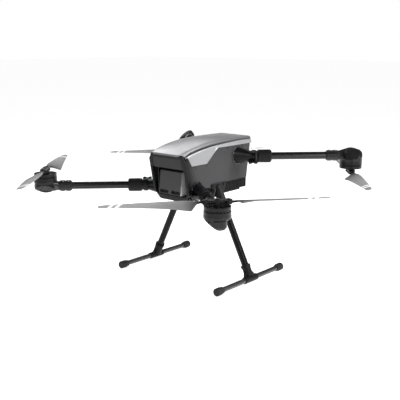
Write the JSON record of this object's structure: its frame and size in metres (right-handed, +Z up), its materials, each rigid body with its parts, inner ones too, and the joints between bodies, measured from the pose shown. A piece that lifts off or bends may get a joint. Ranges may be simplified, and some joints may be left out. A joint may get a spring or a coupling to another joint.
{
  "type": "quadcopter drone",
  "caption": "Folding quadcopter airframe with a tall silver and grey fuselage, tube arms, folding propellers, a front battery bay and T-shaped landing legs.",
  "frame": {"origin": "on the ground, under the middle of the craft standing on its skids", "axes": "+Z up; the nose faces -Y; the craft's own left side is +X"},
  "size_m": [1.3748, 1.4654, 0.5555],
  "materials": {
    "silver_shell": "metallic silver paint on a moulded shell",
    "grey_shell": "fine-textured dark grey moulding",
    "black_shell": "fine-textured black moulding",
    "visor": "smooth charcoal plastic",
    "carbon": "satin carbon-fibre tube",
    "black_metal": "black anodised, bead blasted",
    "black_nylon": "glass-filled black nylon",
    "steel": "bright machine screws and pins",
    "bell": "black anodised motor bell",
    "stator": "dark anodised motor base",
    "blade": "silver-grey composite blade with a black root",
    "rubber": "soft black rubber",
    "frame_metal": "clear anodised plate",
    "circuit": "circuit boards and their cases",
    "gps": "pale aerial housing",
    "battery": "dark grey battery case"
  },
  "bodies": {
    "airframe": {"top_cover": "silver_shell", "left_side_panel": "grey_shell", "right_side_panel": "grey_shell", "rear_panel": "grey_shell", "nose_bezel": "black_shell", "nose_visor": "visor", "bay_liner": "black_shell", "belly_tray": "black_shell", "cooling_grille": "black_shell", "side_frames": "frame_metal", "frame_decks": "frame_metal", "avionics_stack": "circuit", "gps_module": "gps", "front_arm_roots": "black_metal", "rear_arm_roots": "black_metal", "hinge_pins": "steel", "leg_brackets": "black_nylon", "leg_tubes": "carbon", "skid_joints": "black_nylon", "skid_tubes": "carbon", "skid_caps": "rubber", "body_screws": "steel"},
    "battery": {"battery_pack": "battery", "battery_handle": "black_shell"},
    "front_left_arm": {"front_left_knuckle": "black_metal", "front_left_tube": "carbon", "front_left_motor_mount": "black_nylon", "front_left_stator": "stator"},
    "front_left_collar": {"front_left_lock_sleeve": "black_nylon"},
    "front_left_rotor": {"front_left_bell": "bell", "front_left_prop_hub": "black_metal"},
    "front_left_blade_a": {"front_left_blade_a": "blade"},
    "front_left_blade_b": {"front_left_blade_b": "blade"},
    "front_right_arm": {"front_right_knuckle": "black_metal", "front_right_tube": "carbon", "front_right_motor_mount": "black_nylon", "front_right_stator": "stator"},
    "front_right_collar": {"front_right_lock_sleeve": "black_nylon"},
    "front_right_rotor": {"front_right_bell": "bell", "front_right_prop_hub": "black_metal"},
    "front_right_blade_a": {"front_right_blade_a": "blade"},
    "front_right_blade_b": {"front_right_blade_b": "blade"},
    "rear_left_arm": {"rear_left_knuckle": "black_metal", "rear_left_tube": "carbon", "rear_left_motor_mount": "black_nylon", "rear_left_stator": "stator"},
    "rear_left_collar": {"rear_left_lock_sleeve": "black_nylon"},
    "rear_left_rotor": {"rear_left_bell": "bell", "rear_left_prop_hub": "black_metal"},
    "rear_left_blade_a": {"rear_left_blade_a": "blade"},
    "rear_left_blade_b": {"rear_left_blade_b": "blade"},
    "rear_right_arm": {"rear_right_knuckle": "black_metal", "rear_right_tube": "carbon", "rear_right_motor_mount": "black_nylon", "rear_right_stator": "stator"},
    "rear_right_collar": {"rear_right_lock_sleeve": "black_nylon"},
    "rear_right_rotor": {"rear_right_bell": "bell", "rear_right_prop_hub": "black_metal"},
    "rear_right_blade_a": {"rear_right_blade_a": "blade"},
    "rear_right_blade_b": {"rear_right_blade_b": "blade"}
  },
  "joints": [
    {"name": "battery_slide", "type": "slide", "parent": "airframe", "child": "battery", "axis": [0, -1, 0], "range_m": [0, 0.21]},
    {"name": "front_left_fold", "type": "hinge", "parent": "airframe", "child": "front_left_arm", "pos_m": [0.1822, -0.13394, 0.365], "axis": [0, 0, 1], "range_deg": [0, 134.2]},
    {"name": "front_left_lock", "type": "hinge", "parent": "front_left_arm", "child": "front_left_collar", "pos_m": [0.1821, -0.17708, 0.365], "axis": [0.7169, -0.6972, 0], "range_deg": [0, 90]},
    {"name": "front_left_spin", "type": "hinge", "parent": "front_left_arm", "child": "front_left_rotor", "pos_m": [0.44449, -0.43224, 0.4024], "axis": [0, 0, 1], "continuous": true},
    {"name": "front_left_blade_a_fold", "type": "hinge", "parent": "front_left_rotor", "child": "front_left_blade_a", "pos_m": [0.46743, -0.4045, 0.4302], "axis": [0, 0, 1], "range_deg": [0, 85.9]},
    {"name": "front_left_blade_b_fold", "type": "hinge", "parent": "front_left_rotor", "child": "front_left_blade_b", "pos_m": [0.42154, -0.45998, 0.4302], "axis": [0, 0, 1], "range_deg": [-95.1, 0]},
    {"name": "front_right_fold", "type": "hinge", "parent": "airframe", "child": "front_right_arm", "pos_m": [-0.1822, -0.13394, 0.365], "axis": [0, 0, -1], "range_deg": [0, 134.2]},
    {"name": "front_right_lock", "type": "hinge", "parent": "front_right_arm", "child": "front_right_collar", "pos_m": [-0.1821, -0.17708, 0.365], "axis": [-0.7169, -0.6972, 0], "range_deg": [0, 90]},
    {"name": "front_right_spin", "type": "hinge", "parent": "front_right_arm", "child": "front_right_rotor", "pos_m": [-0.44449, -0.43224, 0.4024], "axis": [0, 0, -1], "continuous": true},
    {"name": "front_right_blade_a_fold", "type": "hinge", "parent": "front_right_rotor", "child": "front_right_blade_a", "pos_m": [-0.46743, -0.4045, 0.4302], "axis": [0, 0, -1], "range_deg": [0, 85.9]},
    {"name": "front_right_blade_b_fold", "type": "hinge", "parent": "front_right_rotor", "child": "front_right_blade_b", "pos_m": [-0.42154, -0.45998, 0.4302], "axis": [0, 0, -1], "range_deg": [-95.1, 0]},
    {"name": "rear_left_fold", "type": "hinge", "parent": "airframe", "child": "rear_left_arm", "pos_m": [0.1822, 0.13394, 0.477], "axis": [0, 0, -1], "range_deg": [0, 134.2]},
    {"name": "rear_left_lock", "type": "hinge", "parent": "rear_left_arm", "child": "rear_left_collar", "pos_m": [0.1821, 0.17708, 0.477], "axis": [0.7169, 0.6972, 0], "range_deg": [0, 90]},
    {"name": "rear_left_spin", "type": "hinge", "parent": "rear_left_arm", "child": "rear_left_rotor", "pos_m": [0.44449, 0.43224, 0.4396], "axis": [0, 0, -1], "continuous": true},
    {"name": "rear_left_blade_a_fold", "type": "hinge", "parent": "rear_left_rotor", "child": "rear_left_blade_a", "pos_m": [0.46743, 0.4045, 0.4118], "axis": [0, 0, -1], "range_deg": [0, 85.9]},
    {"name": "rear_left_blade_b_fold", "type": "hinge", "parent": "rear_left_rotor", "child": "rear_left_blade_b", "pos_m": [0.42154, 0.45998, 0.4118], "axis": [0, 0, -1], "range_deg": [-95.1, 0]},
    {"name": "rear_right_fold", "type": "hinge", "parent": "airframe", "child": "rear_right_arm", "pos_m": [-0.1822, 0.13394, 0.477], "axis": [0, 0, 1], "range_deg": [0, 134.2]},
    {"name": "rear_right_lock", "type": "hinge", "parent": "rear_right_arm", "child": "rear_right_collar", "pos_m": [-0.1821, 0.17708, 0.477], "axis": [-0.7169, 0.6972, 0], "range_deg": [0, 90]},
    {"name": "rear_right_spin", "type": "hinge", "parent": "rear_right_arm", "child": "rear_right_rotor", "pos_m": [-0.44449, 0.43224, 0.4396], "axis": [0, 0, 1], "continuous": true},
    {"name": "rear_right_blade_a_fold", "type": "hinge", "parent": "rear_right_rotor", "child": "rear_right_blade_a", "pos_m": [-0.46743, 0.4045, 0.4118], "axis": [0, 0, 1], "range_deg": [0, 85.9]},
    {"name": "rear_right_blade_b_fold", "type": "hinge", "parent": "rear_right_rotor", "child": "rear_right_blade_b", "pos_m": [-0.42154, 0.45998, 0.4118], "axis": [0, 0, 1], "range_deg": [-95.1, 0]}
  ],
  "couplings": [
    {"joint": "front_left_blade_a_fold", "follows": "front_left_fold", "ratio": 0.63636},
    {"joint": "front_left_blade_b_fold", "follows": "front_left_fold", "ratio": -0.70492},
    {"joint": "front_right_blade_a_fold", "follows": "front_right_fold", "ratio": 0.63636},
    {"joint": "front_right_blade_b_fold", "follows": "front_right_fold", "ratio": -0.70492},
    {"joint": "rear_left_blade_a_fold", "follows": "rear_left_fold", "ratio": 0.63636},
    {"joint": "rear_left_blade_b_fold", "follows": "rear_left_fold", "ratio": -0.70492},
    {"joint": "rear_right_blade_a_fold", "follows": "rear_right_fold", "ratio": 0.63636},
    {"joint": "rear_right_blade_b_fold", "follows": "rear_right_fold", "ratio": -0.70492}
  ]
}
